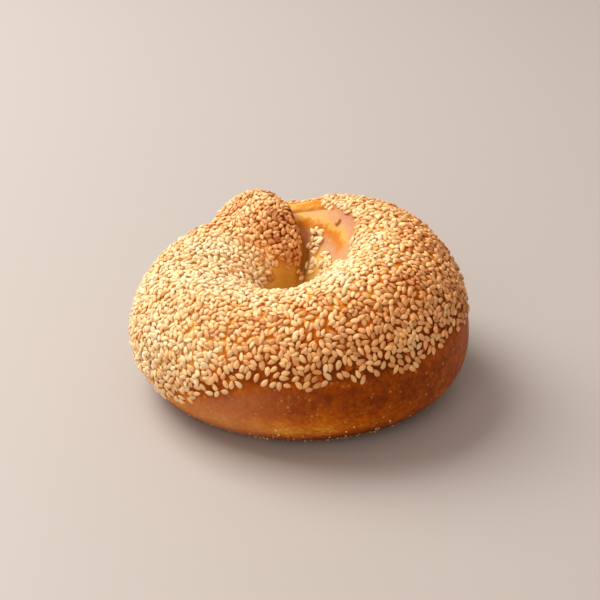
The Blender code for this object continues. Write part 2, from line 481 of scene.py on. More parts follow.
def grid_mesh(name, points):
    """A closed mesh over a grid that joins up both ways, with a flat map of the grid."""
    columns, rows = points.shape[:2]
    column, row = np.meshgrid(np.arange(columns), np.arange(rows), indexing="ij")
    beside, above = (column + 1) % columns, (row + 1) % rows
    corners = np.stack([column * rows + row, beside * rows + row,
                        beside * rows + above, column * rows + above], axis=-1)
    across = np.stack([column, column + 1, column + 1, column], axis=-1) / columns
    up = np.stack([row, row, row + 1, row + 1], axis=-1) / rows
    inset = 0.002
    places = inset + (1.0 - 2.0 * inset) * np.stack([across, up], axis=-1)
    return array_mesh(name, points, corners, np.arange(0, corners.size, 4), places)


def add_mask(mesh, name, values):
    """Stores one number per point, for the materials to read."""
    layer = mesh.attributes.new(name, "FLOAT", "POINT")
    layer.data.foreach_set("value", np.clip(values, 0.0, 1.0).astype(np.float32).ravel())


def add_object(name, data):
    """Puts a mesh, a light or a camera into the scene."""
    made = bpy.data.objects.new(name, data)
    bpy.context.scene.collection.objects.link(made)
    return made


crust_mesh = grid_mesh("crust", points)
crust = add_object("crust", crust_mesh)
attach(crust, "root")
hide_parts("bagel")
print("crust:", len(crust_mesh.vertices), "points")

# %% [markdown]
# ### How far each place has browned, and painted shade
#
# The oven browns what stands free and dry. The crust is darkest just under the seeds, most of all
# at the front right, and golden near the table, where the dough was damp. Under the seeds the front
# is browner than the left, and the lobe's side that looks into the hole toasted most. Between the
# seeds at the front right the crust is darker still, which is painted shade, and a thin dark edge at
# the table is partly browning and partly painted shade. Colours set area by area would show their
# borders. So one number, a sum of soft masks, says how far each point has browned, with that
# painted shade, and the material will turn it into colour.

# %% The browning and painted shade mask
def lobe_face(turn, section):
    """1 on the side of the lobe that looks into the hole, which toasted most."""
    return window(-2.0, 5.0, 18.0, 48.0, turn) * window(90.0, 110.0, 160.0, 170.0, section)


def lobe_top(turn):
    """1 on the lobe, fading out along it."""
    return window(-2.0, 5.0, 40.0, 60.0, turn)


def hole_rim(place):
    """1 round the hole, fading to 0 a little outside the crest."""
    return 1.0 - ramp(22.0 * MM, 36.0 * MM, hole_distance(place))


height = smooth[..., 2]
front_right = 0.5 + 0.5 * np.cos(np.radians(DIRECTION + 52.0))
before_back = 1.0 - ramp(60.0, 130.0, DIRECTION)
right_side = ramp(-70.0, 0.0, DIRECTION) * before_back
right_foot = ramp(-84.0, -60.0, DIRECTION) * before_back
darker_side = np.maximum(front_right, 0.85 * right_side)
inner = ramp(84.0, 118.0, SECTION) * (SECTION < 250.0)
reach = (6.0 + 15.0 * front_right ** 2) * MM
by_the_line = 1.0 - ramp(0.2 * reach, reach, above_line)
below_line = 1.0 - ramp(-4.0 * MM, 1.0 * MM, above_line)
climb = ramp(8.5 * MM, 19.0 * MM, height)
# The thin edge at the table, darkest at the front and right, is partly browning and partly painted
# shade.
foot_browning_and_shade = window(0.0, 0.4 * MM, 1.8 * MM, 8.5 * MM, height) * (SECTION > 290.0)
bare_crest = bare * (1.0 - ramp(66.0, 82.0, SECTION))
# Two terms here are painted shade: the extra darkening between the seeds at the front right, and part of
# the edge at the foot.
browning_and_shade = (0.10 + 0.29 * front_right * (1.0 - inner) + 0.62 * lobe_face(TURN, SECTION)
            - 0.12 * front_right * hole_rim(smooth)
            + by_the_line * climb * (0.05 + 0.43 * darker_side - 0.12 * right_side)
            + by_the_line * (1.0 - climb) * 0.30 * right_foot
            + 0.13 * seeded * by_the_line * front_right
            + seeded * (0.20 * lobe_top(TURN) + 0.14 * hump(DIRECTION, 25.0, 45.0))
            + below_line * (0.05 + 0.24 * (1.0 - front_right))
            + 0.60 * foot_browning_and_shade * (0.4 + 0.6 * darker_side)
            + 0.22 * bare_crest)
print("browning from", round(browning_and_shade.min(), 2), "to", round(browning_and_shade.max(), 2))

# %% [markdown]
# The bare flank has bands of its own, partly painted light: painted shade along its top right,
# where the seeds overhang it, a light band that is partly a stretch mark and partly a painted
# highlight on the ridge that faces the light, and lower down a rosy hollow with a painted sheen.
# A mask says how far down the flank a place lies. Beside the lobe it is held back, so that the
# bands end there, and above the fold it has the colour of the stretched skin.

# %% The bare flank's bands
near_lobe = ramp(-38.0, -24.0, TURN)
above_fold = ramp(98.0, 94.0, SECTION) * near_lobe
fold_band = 0.43 + 0.13 * ramp(-10.0, -26.0, TURN)
down_flank = np.maximum(flank_band(SECTION, DIRECTION), 0.36 * near_lobe)
down_flank = down_flank + (fold_band - down_flank) * above_fold

# %% [markdown]
# Narrow places get painted shade, a dark orange: the valley beside the lobe, the line of the fold,
# and the pocket under its lip. They share one mask. All masks are then stored on the mesh.

# %% The crevices, and all masks on the mesh
deeper = ramp(124.0, 137.0, SECTION)
from_seam = seam_distance(TURN, smooth)
# Painted shade in the valley beside the lobe; lower down it is wider and shifted off the seam.
valley = hump(from_seam + (0.5 + 1.1 * deeper) * MM, 0.0, (2.2 + 0.9 * deeper) * MM)
valley = valley * window(108.0, 124.0, 152.0, 178.0, SECTION)
beside = hump(from_seam, -2.6 * MM, 3.0 * MM) * window(112.0, 122.0, 140.0, 160.0, SECTION)
valley = np.maximum(valley, 0.5 * beside)
pocket_shade = np.maximum(pocket_lip(TURN, SECTION), 0.7 * pocket_depth(TURN, SECTION))
crevice_shade = np.maximum(np.maximum(0.9 * valley, fold_line(TURN, SECTION)), pocket_shade)
# A rosy tone low on the left and at the right, partly the crust's tone and partly a painted sheen.
rosy_tone_and_sheen = (hump(DIRECTION, -120.0, 21.0) + 0.4 * hump(DIRECTION, -8.0, 26.0)) * below_line
crust_masks = {"browning_and_shade": browning_and_shade, "seeded": seeded, "bare": bare - bare_crest,
               "rosy": ramp(36.0, 16.0, DIRECTION), "rosy_tone_and_sheen": rosy_tone_and_sheen, "down_flank": down_flank,
               "crevice_shade": crevice_shade, "rim": seed_rim(TURN, SECTION, smooth), "in_hole": in_hole}
for mask_name, values in crust_masks.items():
    add_mask(crust_mesh, mask_name, values)
print("masks:", ", ".join(crust_masks))

# %% [markdown]
# ## The seeds
#
# A hulled sesame seed is a flat teardrop about 2.8 mm long, 1.6 mm wide and under a millimetre
# thick, pointed where it hung in its pod. No two are the same, so every seed gets its own length,
# width, plumpness, point and bend. All seeds of a kind are made together as arrays, one mesh
# per kind: thousands of objects would be slow, and copies would look like copies.

# %% The shape of a seed
RINGS, SPOKES = 7, 9
SEED_HALF_SIZE = np.array([1.38, 0.80, 0.46]) * MM      # length, width and thickness


def seed_points(seeds):
    """Points of many seeds round their own middles: pole, rings from the tip, pole."""
    count = len(seeds["length"])
    share = 0.5 - 0.5 * np.cos(np.pi * (np.arange(RINGS) + 0.8) / (RINGS + 0.6))
    spoke = 2.0 * np.pi * np.arange(SPOKES) / SPOKES
    share = share[None, :, None]
    point = seeds["point"][:, None, None]
    round_end = 0.50
    widest = point / (point + round_end)
    peak = widest ** point * (1.0 - widest) ** round_end
    outline = share ** point * (1.0 - share) ** round_end / peak
    thick = share ** (0.8 * point) * (1.0 - share) ** round_end
    thick = thick / thick.max(axis=1, keepdims=True)
    cosine, sine = np.cos(spoke)[None, None, :], np.sin(spoke)[None, None, :]
    wave = 1.0 + seeds["dent"][:, None, None] * np.sin(5.0 * share + 3.0 * spoke + point * 40.0)
    y = seeds["width"][:, None, None] * outline * cosine * wave
    z = seeds["thickness"][:, None, None] * thick * sine * wave
    x = np.broadcast_to(seeds["length"][:, None, None] * (2.0 * share - 1.0), y.shape)
    y = y + seeds["bend"][:, None, None] * (1.0 - (2.0 * share - 1.0) ** 2)
    z = z - seeds["curl"][:, None, None] * (2.0 * share - 1.0) ** 2
    rings = np.stack([x, y, z], axis=-1).reshape(count, -1, 3)
    tip = np.zeros((count, 1, 3))
    tip[:, 0, 0], tip[:, 0, 2] = -seeds["length"], -seeds["curl"]
    end = tip * np.array([-1.0, 1.0, 1.0])
    return np.concatenate([tip, rings, end], axis=1)


# %% [markdown]
# A seed's faces join its tip, its rings and its end, spoke by spoke. All seeds have the same
# faces, so the list is made once, together with a small flat map to bake colours on.

# %% The faces of a seed
def point_number(ring, spoke):
    """Number of a seed's point: ring 0 is the tip and the ring after the last is the end."""
    if ring == 0:
        return 0
    return 1 + (ring - 1) * SPOKES + (spoke % SPOKES if ring <= RINGS else 0)


def seed_faces():
    """Corners of a seed's faces, where each face starts, and the corners' places on a map."""
    corners, starts, places = [], [], []
    for spoke in range(SPOKES):
        for ring in range(RINGS + 1):
            face = [(ring, spoke), (ring + 1, spoke), (ring + 1, spoke + 1), (ring, spoke + 1)]
            if ring == 0:
                face = [(0, spoke + 0.5), *face[1:3]]
            elif ring == RINGS:
                face = [face[0], (ring + 1, spoke + 0.5), face[3]]
            starts.append(len(corners))
            corners += [point_number(*corner) for corner in face]
            places += [(across / SPOKES, up / (RINGS + 1)) for up, across in face]
    return np.array(corners), np.array(starts), np.array(places)


SEED_CORNERS, SEED_FACE_STARTS, SEED_MAP = seed_faces()
SEED_TRIANGLES = 2 * SPOKES * RINGS
print("triangles in a seed:", SEED_TRIANGLES)

# %% [markdown]
# ### Letting the seeds come to rest
#
# Seeds pressed onto sticky dough lie flat, and where they are crowded the later ones lean on the
# earlier. A physics run could drop them, but it is slow and hard to keep the same from run to
# run. Here each seed is tried at a random place. The heights of the seeds already there are
# measured under nine points of it, and of many tilts the one is kept that lets its middle lie
# lowest. If even that stands too high to touch the dough, the seed would have fallen off, so it
# is left out.

# %% Measure the seeds already lying there
TRY_ALONG = np.array([-0.85, -0.45, 0.0, 0.45, 0.85, -0.3, -0.3, 0.4, 0.4])
TRY_ACROSS = np.array([0.0, 0.0, 0.0, 0.0, 0.0, -0.62, 0.62, -0.62, 0.62])
TRY_THICK = np.sqrt(1.0 - TRY_ALONG ** 2 - 0.9 * TRY_ACROSS ** 2).clip(0.1)
TILTS = np.array([(along, across)
                  for along in (-0.6, -0.42, -0.28, -0.14, 0.0, 0.14, 0.28, 0.42, 0.6)
                  for across in (-0.4, -0.2, 0.0, 0.2, 0.4)])
CELL = 3.6 * MM                 # a little more than a seed's length
CLEARLY_LOWER = 0.03 * MM       # a heading has to win by this much
TILT_COST = 0.02 * MM           # keeps a seed flat where tilting gains nothing


def tops_under(samples, out, middles, axes, sizes):
    """Height above each sample, along out, of the highest lying seed there, or 0."""
    away = samples[:, None, :] - middles[None, :, :]
    place = np.einsum("mnk,nik->mni", away, axes) / sizes[None, :, :]
    climb = np.einsum("k,nik->ni", out, axes) / sizes
    steep = (climb ** 2).sum(axis=1)[None, :]
    lean = (place * climb[None, :, :]).sum(axis=2)
    inside = lean ** 2 - steep * ((place ** 2).sum(axis=2) - 1.0)
    top = np.where(inside > 0.0, (-lean + np.sqrt(np.maximum(inside, 0.0))) / steep, 0.0)
    return np.maximum(top.max(axis=1), 0.0)


# %% [markdown]
# Comparing every seed with every other would take minutes. A lattice of cells a little longer
# than a seed keeps the search to the few that can touch.

# %% Lay one seed
class SeedBed:
    """Every seed that has come to rest, with a coarse lattice to find neighbours quickly."""

    def __init__(self, room):
        self.middles, self.axes = np.zeros((room, 3)), np.zeros((room, 3, 3))
        self.sizes, self.count, self.lattice = np.zeros((room, 3)), 0, {}

    def cell(self, place):
        return tuple(np.floor(place / CELL).astype(int))

    def near(self, place):
        x, y, z = self.cell(place)
        found = []
        for i in (x - 1, x, x + 1):
            for j in (y - 1, y, y + 1):
                for k in (z - 1, z, z + 1):
                    found += self.lattice.get((i, j, k), [])
        return found

    def rest(self, place, along, out, size):
        """The lowest resting height and its tilt, for a seed laid at a place."""
        across = np.cross(out, along)
        offsets = np.outer(TRY_ALONG * size[0], along) + np.outer(TRY_ACROSS * size[1], across)
        near = self.near(place)
        tops = np.zeros(len(TRY_ALONG))
        if near:
            tops = tops_under(place + offsets, out, self.middles[near], self.axes[near],
                              self.sizes[near])
        rise = np.outer(TILTS[:, 0], TRY_ALONG * size[0])
        rise = rise + np.outer(TILTS[:, 1], TRY_ACROSS * size[1])
        heights = (tops[None, :] - rise + TRY_THICK[None, :] * size[2]).max(axis=1)
        heights = heights + TILT_COST * np.abs(TILTS).sum(axis=1)
        best = int(heights.argmin())
        return heights[best], TILTS[best]

    def lay(self, place, sides, angles, size, highest, sunk):
        """Lays a seed at the angle where it lies lowest, unless even that is too high."""
        side, down, out = sides
        height = math.inf
        for angle in angles:
            turned = math.cos(angle) * side + math.sin(angle) * down
            resting, lean = self.rest(place, turned, out, size)
            if resting < height - CLEARLY_LOWER:
                height, tilt, along = resting, lean, turned
        if height > highest:
            return False
        raised = unit(along + tilt[0] * out)
        up = unit(out - tilt[0] * along - tilt[1] * np.cross(out, along))
        middle = place + (height - sunk) * out
        self.middles[self.count], self.sizes[self.count] = middle, size
        self.axes[self.count] = raised, np.cross(up, raised), up
        self.lattice.setdefault(self.cell(middle), []).append(self.count)
        self.count += 1
        return True


# %% [markdown]
# ### Where seeds may lie
#
# The trial places are spread evenly by area, and the seed line and the bare flank thin them out.
# Near the seed line the seeds lie singly with crust between them, and further up they lean on
# each other. Round the front of the hole the dough rose round the seeds, so they are sunk.

# %% Spread trial places over the crust
def trial_places(count):
    """Turns and section angles of places spread evenly over the dough's area."""
    turns, sections = whole_grid(360, 180)
    grid = crust_point(turns, sections)
    side = np.roll(grid, -1, axis=0) - grid
    up = np.roll(grid, -1, axis=1) - grid
    area = np.linalg.norm(np.cross(side, up), axis=-1).ravel()
    chosen = dice.choice(area.size, count, p=area / area.sum())
    return (turns.ravel()[chosen] + dice.uniform(0.0, 1.0, count),
            sections.ravel()[chosen] + dice.uniform(0.0, 2.0, count))


def crowding(turn, section, place):
    """0 where no seed lies, near 0 where seeds lie singly, 1 where they lean on each other."""
    direction = direction_of(place)
    ragged = 0.8 * np.sin(np.radians(direction * 9.0))
    ragged = ragged + 0.6 * np.sin(np.radians(direction * 23.0 + 60.0))
    above = place[:, 2] - seed_line(direction) - ragged * MM
    back_left = 0.5 - 0.5 * np.cos(np.radians(direction + 48.0))
    near_hole = ramp(80.0, 105.0, section) * (section < 225.0)
    most = 0.46 + 0.36 * back_left + 0.12 * near_hole * (1.0 - back_left)
    outside = np.where(above > 0.0, 0.16 + most * ramp(0.0, 9.0 * MM, above), 0.0)
    wobble = 5.0 * np.sin(np.radians(direction * 5.0)) + 3.0 * np.sin(np.radians(direction * 13.0))
    inner = 1.0 - ramp(143.0 + wobble, 151.0 + wobble, section) * (section < 225.0)
    lobe_edge = 4.5 + 5.5 * window(100.0, 108.0, 117.0, 128.0, section)
    lobe_edge = lobe_edge + 1.5 * ramp(118.0, 128.0, section)
    valley = ramp(-12.0, -9.0, turn) * (1.0 - ramp(lobe_edge - 2.0, lobe_edge + 1.5, turn))
    valley = valley * window(86.0, 96.0, 150.0, 158.0, section)
    bare = np.maximum(bare_flank(turn, section, direction), valley)
    seeds_there = outside * (1.0 - bare) * inner
    return np.maximum(seeds_there, ramp(0.15, 0.45, pocket_depth(turn, section)))


def seed_ground(turn, section):
    """Places on the crust with its formed details, where seeds touch it."""
    return crust_point(turn, section, formed_relief(turn, section, crust_point(turn, section)))


SEED_TRIALS = 46000
trial_turn, trial_section = trial_places(SEED_TRIALS)
trial_place = seed_ground(trial_turn, trial_section)
trial_crowding = crowding(trial_turn, trial_section, trial_place)
keep = trial_crowding > 0.02
trial_turn, trial_section = trial_turn[keep], trial_section[keep]
trial_place, trial_crowding = trial_place[keep], trial_crowding[keep]
trial_sides = np.stack(tangents(trial_turn, trial_section), axis=1)
print("places to try:", len(trial_turn))

# %% [markdown]
# Each trial place in turn gets a seed of its own size, turned to the best of four headings. Where
# the crowd is dense a seed may stand higher, and that makes the heaps. Where seeds lie singly,
# chance leaves more of the places empty. Seeds round the front of the hole are sunk the deepest.

# %% Lay the seeds
HEADINGS_TRIED = 4
THINNED_BELOW, HEAPED_ABOVE = 0.55, 0.22        # crowding
HEAP_HEIGHT = 0.95 * MM
bed = SeedBed(SEED_TRIALS)
laid = []
heading = dice.uniform(0.0, 2.0 * np.pi, len(trial_turn))
scale = dice.normal(1.0, 0.07, (len(trial_turn), 3)).clip(0.82, 1.2)
trial_direction = np.arctan2(trial_place[:, 1], trial_place[:, 0])
smaller_behind = 0.91 + 0.09 * (0.5 + 0.5 * np.cos(trial_direction + math.radians(70.0)))
sizes = scale * smaller_behind[:, None] * SEED_HALF_SIZE
round_hole = hump(trial_section, 118.0, 26.0) * (trial_turn < -60.0)
sunk = (0.12 + 0.30 * round_hole) * sizes[:, 2]
highest = sizes[:, 2] * 1.06 + HEAP_HEIGHT * np.maximum(0.0, trial_crowding - HEAPED_ABOVE)
for index, crowd in enumerate(trial_crowding):
    if crowd < THINNED_BELOW and dice.random() > 0.25 + 1.5 * crowd:
        continue
    angles = [heading[index] + turned * math.pi / HEADINGS_TRIED for turned in range(HEADINGS_TRIED)]
    if bed.lay(trial_place[index], trial_sides[index], angles, sizes[index],
               highest[index], sunk[index]):
        laid.append((trial_turn[index], trial_section[index]))
print("seeds laid:", bed.count)

# %% [markdown]
# ### A few seeds on the bare flank
#
# A few seeds strayed onto the flank and its lower border. They are laid one by one at chosen
# places: turn, section angle, heading in degrees, and how toasted each one is.

# %% Seeds laid one by one
HAND_LAID = [(-41.0, 111.5, 60.0, 0.75), (-47.0, 138.5, 35.0, 0.02), (-12.0, 144.5, 170.0, 0.10),
             (-31.0, 153.0, 20.0, 0.05), (-52.0, 147.0, 100.0, 0.10), (-62.0, 145.0, 75.0, 0.15)]
HAND_SIZE = SEED_HALF_SIZE * 0.95
for turn, section, degrees, _ in HAND_LAID:
    turn, section = np.array(turn), np.array(section)
    bed.lay(seed_ground(turn, section), tangents(turn, section), [math.radians(degrees)],
            HAND_SIZE, math.inf, 0.2 * HAND_SIZE[2])
    laid.append((turn, section))
print("with the hand-laid ones:", bed.count)

# %% [markdown]
# ### One mesh for each kind
#
# Seeds toast unevenly: most stay cream, some turn gold, and a few go brown at their edges. The
# toasting of each seed is a number that its material reads. Part of it is chance, and part
# follows the crust: more on the right and on the lobe, less on the left and round the front of
# the hole. The seeds are then sorted into four kinds by it.

# %% Sort the seeds by how toasted they are
total = bed.count
turns, sections = np.array(laid).T
directions = direction_of(bed.middles[:total])
place_x, place_y, place_z = bed.middles[:total].T
patches = np.sin(210.0 * place_x + 1.0) * np.sin(260.0 * place_y + 2.0)
small_patches = np.sin(640.0 * place_x) * np.sin(560.0 * place_y + 2.5) * np.sin(500.0 * place_z)
outer_side = 1.0 - ramp(66.0, 92.0, np.mod(sections + 90.0, 360.0) - 90.0)
to_the_right = 0.5 + 0.5 * np.cos(np.radians(directions + 42.0))
pale_left = hump(np.mod(directions, 360.0), 195.0, 42.0) * (place_z > 10.0 * MM)
pale_front = hole_rim(bed.middles[:total]) * hump(directions, -66.0, 42.0)
toast = (0.30 + 0.55 * (dice.beta(2.0, 4.2, total) - 0.32) + 0.30 * (dice.random(total) < 0.05)
         + 0.10 * patches + 0.12 * small_patches + (0.04 + 0.26 * to_the_right) * outer_side
         + 0.07 * hump(directions, 20.0, 45.0) - 0.07 + 0.14 * lobe_top(turns)
         + 0.34 * lobe_face(turns, sections) - 0.20 * pale_left - 0.16 * pale_front)
toast = np.where(pocket_depth(turns, sections) > 0.1, 0.10 + 0.25 * toast, toast)
toast[total - len(HAND_LAID):] = [seed[3] for seed in HAND_LAID]
toast = np.clip(toast, 0.0, 1.0)
print("toasting: mean", round(float(toast.mean()), 2))


# %% [markdown]
# One mesh holds all seeds of a kind, each with its own shape. Every point keeps four numbers for
# the material: its seed's toasting and lot, how far along the seed it is, and how far under. Each
# seed also has its own cell on the flat map.

# %% Build a mesh of many grains
def grain_mesh(name, grains, toasting, dent):
    """One mesh of many grains, each with its own shape, toasting and place on the map."""
    middles, axes, sizes = grains
    count = len(middles)
    random = np.random.default_rng(len(name) + count)
    shape = {"length": sizes[:, 0], "width": sizes[:, 1], "thickness": sizes[:, 2],
             "point": random.uniform(0.62, 0.92, count), "dent": random.uniform(0.0, dent, count),
             "bend": 0.06 * sizes[:, 1] * random.normal(0.0, 1.0, count),
             "curl": 0.20 * sizes[:, 2] * random.random(count)}
    local = seed_points(shape)
    world = np.einsum("nvk,nki->nvi", local, axes) + middles[:, None, :]
    world[..., 2] = np.maximum(world[..., 2], 0.05 * MM)
    number, per_grain = np.arange(count), local.shape[1]
    cells_a_side = math.ceil(math.sqrt(count))
    cells = np.stack([number % cells_a_side, number // cells_a_side], axis=-1)
    mesh = array_mesh(name, world, SEED_CORNERS + number[:, None] * per_grain,
                      SEED_FACE_STARTS + number[:, None] * SEED_CORNERS.size,
                      (cells[:, None, :] + 0.08 + 0.84 * SEED_MAP) / cells_a_side)
    add_mask(mesh, "toast", np.repeat(toasting, per_grain))
    add_mask(mesh, "along", 0.5 + 0.5 * local[..., 0] / sizes[:, 0][:, None])
    add_mask(mesh, "lot", np.repeat(random.random(count), per_grain))
    add_mask(mesh, "under", 0.5 - 0.5 * local[..., 2] / sizes[:, 2][:, None])
    return mesh


def add_grains(name, mesh):
    """Puts a mesh of grains on the bagel."""
    grains = add_object(name, mesh)
    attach(grains, "root")
    print(name, len(mesh.vertices), "points")
    return grains


KINDS = ("seeds_cream", "seeds_pale_gold", "seeds_gold", "seeds_toasted")
PALER_SHARE = 0.26              # of the seeds, in each of the first three kinds
order = np.argsort(toast, kind="stable")
seed_objects = []
for kind, chosen in zip(KINDS, np.split(order, round(PALER_SHARE * total) * np.arange(1, 4))):
    grains = bed.middles[chosen], bed.axes[chosen], bed.sizes[chosen]
    seed_objects.append(add_grains(kind, grain_mesh(kind, grains, toast[chosen], 0.035)))
    print("   ", len(chosen), "seeds,", len(chosen) * SEED_TRIANGLES, "triangles")

# %% [markdown]
# ### Crumbs at the foot
#
# A few grains of baked meal stick to the lower edge of a bagel that came off a dusted board. They
# are lumpy and at most a fifth of a seed's length, so the same mesh maker serves, with small sizes
# and deep dents. Most of them lie within a few millimetres of the table.

# %% Scatter the crumbs
CRUMB_COUNT = 260
crumb_turn, crumb_section = trial_places(9000)
crumb_place = seed_ground(crumb_turn, crumb_section)
likely = np.exp(-crumb_place[:, 2] / (2.6 * MM)) * (crumb_section > 296.0)
likely = likely * (0.12 + hump(direction_of(crumb_place), -78.0, 48.0))
chosen = dice.choice(len(likely), CRUMB_COUNT, replace=False, p=likely / likely.sum())
side, down, out = tangents(crumb_turn[chosen], crumb_section[chosen])
spin = dice.uniform(0.0, 2.0 * np.pi, (CRUMB_COUNT, 1))
along = np.cos(spin) * side + np.sin(spin) * down
axes = np.stack([along, np.cross(out, along), out], axis=1)
sizes = dice.uniform(0.12, 0.31, (CRUMB_COUNT, 1)) * dice.uniform(0.75, 1.25, (CRUMB_COUNT, 3)) * MM
grains = crumb_place[chosen] + 0.4 * sizes[:, 2:] * out, axes, sizes
crumb_mesh = grain_mesh("crumbs", grains, dice.random(CRUMB_COUNT), 0.16)
crumbs = add_grains("crumbs", crumb_mesh)

# %% [markdown]
# ## The finishes
#
# Two effects are shared by all the finishes, so each is a node group, built once with named
# inputs and outputs. *Mottling* is uneven toasting: noise of two sizes, given out as two masks.
# *Skin* is the fine relief that makes a baked surface look dry, given out as a height for a bump
# node.

# %% Helpers for node trees
def feed(tree, socket, value):
    """Links another socket to this one, or sets it to a number, a vector or a colour."""
    if isinstance(value, bpy.types.NodeSocket):
        tree.links.new(value, socket)
    else:
        socket.default_value = (*value, 1.0) if socket.type == "RGBA" else value


def feed_all(tree, made, inputs):
    """Feeds a node's inputs, given by name or number, and returns the node."""
    for name, value in inputs.items():
        feed(tree, made.inputs[name], value)
    return made


def node(tree, kind, inputs=None, **settings):
    """Adds a node, sets its properties, feeds its inputs, and returns it."""
    made = tree.nodes.new(kind)
    for name, value in settings.items():
        setattr(made, name, value)
    return feed_all(tree, made, inputs or {})


def math_node(tree, operation, *values, clamp=False):
    """A math node fed by sockets or by plain numbers."""
    made = node(tree, "ShaderNodeMath", dict(enumerate(values)), operation=operation, use_clamp=clamp)
    return made.outputs[0]


def new_group(name, inputs, outputs):
    """A node group with float inputs, given with their values, and float outputs."""
    group = bpy.data.node_groups.new(name, "ShaderNodeTree")
    for label, value in inputs.items():
        socket = group.interface.new_socket(name=label, in_out="INPUT", socket_type="NodeSocketFloat")
        socket.default_value = value
    for label in outputs:
        group.interface.new_socket(name=label, in_out="OUTPUT", socket_type="NodeSocketFloat")
    entry, leave = node(group, "NodeGroupInput"), node(group, "NodeGroupOutput")
    return group, node(group, "ShaderNodeTexCoord").outputs["Object"], entry.outputs, leave.inputs


# %% [markdown]
# Noise mostly stays near one half, which would hardly show. So the mottling group stretches it
# about its middle before it is clamped to a mask.

# %% The mottling group
mottling, place, given, result = new_group(
    "mottling", {"Patch Size": 120.0, "Speck Size": 600.0, "Contrast": 1.0}, ("Patches", "Specks"))
broad = node(mottling, "ShaderNodeTexNoise", {
    "Vector": place, "Scale": given["Patch Size"], "Detail": 3.0, "Roughness": 0.55})
small = node(mottling, "ShaderNodeTexNoise", {
    "Vector": place, "Scale": given["Speck Size"], "Detail": 2.0})
for noise, label in ((broad, "Patches"), (small, "Specks")):
    centred = math_node(mottling, "SUBTRACT", noise.outputs[0], 0.5)
    stretched = math_node(mottling, "MULTIPLY", centred, given["Contrast"])
    mask = math_node(mottling, "MULTIPLY_ADD", stretched, 2.5, 0.5, clamp=True)
    feed(mottling, result[label], mask)

# %% [markdown]
# Dry skin is a fine grain with small pits. A smooth Voronoi distance makes round pits, and noise
# makes the grain between them.

# %% The skin group
skin, place, given, result = new_group(
    "skin", {"Grain Size": 2600.0, "Pore Size": 900.0, "Pore Depth": 0.4}, ("Height",))
grain = node(skin, "ShaderNodeTexNoise", {
    "Vector": place, "Scale": given["Grain Size"], "Detail": 3.0})
pores = node(skin, "ShaderNodeTexVoronoi", {
    "Vector": place, "Scale": given["Pore Size"], "Smoothness": 0.6}, feature="SMOOTH_F1")
deep = math_node(skin, "MULTIPLY", pores.outputs["Distance"], given["Pore Depth"])
feed(skin, result["Height"], math_node(skin, "ADD", grain.outputs[0], deep))
print("node groups:", [group.name for group in bpy.data.node_groups])

# %% [markdown]
# The three materials share a few more helpers. A mask from the mesh can be read at part of its
# strength, spread to another range, turned into colours by a ramp, or used to blend two colours.

# %% Helpers for the materials
def mottled(tree, patch_size, speck_size, contrast):
    """The patches and specks of a mottling group."""
    made = node(tree, "ShaderNodeGroup", {"Patch Size": patch_size, "Speck Size": speck_size,
                                          "Contrast": contrast}, node_tree=mottling)
    return made.outputs["Patches"], made.outputs["Specks"]


def new_material(name):
    """A material, its tree and its shader."""
    material = bpy.data.materials.new(name)
    material.use_nodes = True
    return material, material.node_tree, material.node_tree.nodes["Principled BSDF"]


def read_mask(tree, name):
    """The mask stored on the mesh."""
    return node(tree, "ShaderNodeAttribute", attribute_name=name).outputs["Fac"]


def part_of(tree, name, share):
    """A mask from the mesh, at part of its strength."""
    return math_node(tree, "MULTIPLY", read_mask(tree, name), share)


def spread(tree, value, start, end, low=0.0, high=1.0):
    """A value's range from start to end, spread from low to high."""
    made = node(tree, "ShaderNodeMapRange", {"Value": value, "From Min": start, "From Max": end,
                                             "To Min": low, "To Max": high})
    return made.outputs["Result"]


def colour_ramp(tree, value, stops):
    """Colours along a mask: (position, (red, green, blue)) in linear light."""
    made = node(tree, "ShaderNodeValToRGB", {"Fac": value})
    elements = made.color_ramp.elements
    while len(elements) < len(stops):
        elements.new(0.5)
    for element, (position, colour) in zip(elements, stops):
        element.position = position
        element.color = (*colour, 1.0)
    return made.outputs["Color"]


def blend_colours(tree, mask, first, second, mode="MIX"):
    """Two colours mixed by a mask."""
    colours = {0: mask, 6: first, 7: second}
    return node(tree, "ShaderNodeMix", colours, data_type="RGBA", blend_type=mode).outputs[2]


def add_skin(tree, shader, strength, distance, grain_size, pore_size, pore_depth):
    """Gives a shader the fine relief of the skin group."""
    relief = node(tree, "ShaderNodeGroup", {"Grain Size": grain_size, "Pore Size": pore_size,
                                            "Pore Depth": pore_depth}, node_tree=skin)
    bump = node(tree, "ShaderNodeBump", {"Strength": strength, "Distance": distance,
                                         "Height": relief.outputs["Height"]})
    feed(tree, shader.inputs["Normal"], bump.outputs["Normal"])


# %% [markdown]
# ### The baked crust
#
# Baking turns dough from cream through gold and orange to brown, always along the same path of
# colours, so the crust's colour is a ramp of those colours read by how browned a place is; the
# painted shade between the seeds and at the foot is read on the same ramp. The mottling shifts
# that reading a little from place to place. The bare flank has its own ramp, with painted shade,
# a painted highlight and a painted sheen in it. Crevices get painted shade, and specks of
# blistered skin are lighter.

# %% The crust's material
crust_material, tree, shader = new_material("baked_crust")
patches, specks = mottled(tree, 130.0, 760.0, 1.0)
shift = math_node(tree, "MULTIPLY_ADD", patches, 0.22, -0.11)
fine_shift = math_node(tree, "MULTIPLY_ADD", specks, 0.18, -0.09)
browned = math_node(tree, "ADD", read_mask(tree, "browning_and_shade"), shift)
baked = colour_ramp(tree, math_node(tree, "ADD", browned, fine_shift), [
    (0.0, (0.93, 0.72, 0.34)), (0.18, (0.90, 0.56, 0.15)), (0.36, (0.79, 0.33, 0.030)),
    (0.54, (0.62, 0.165, 0.004)), (0.72, (0.43, 0.086, 0.001)), (0.88, (0.28, 0.050, 0.001)),
    (1.0, (0.18, 0.033, 0.002))])
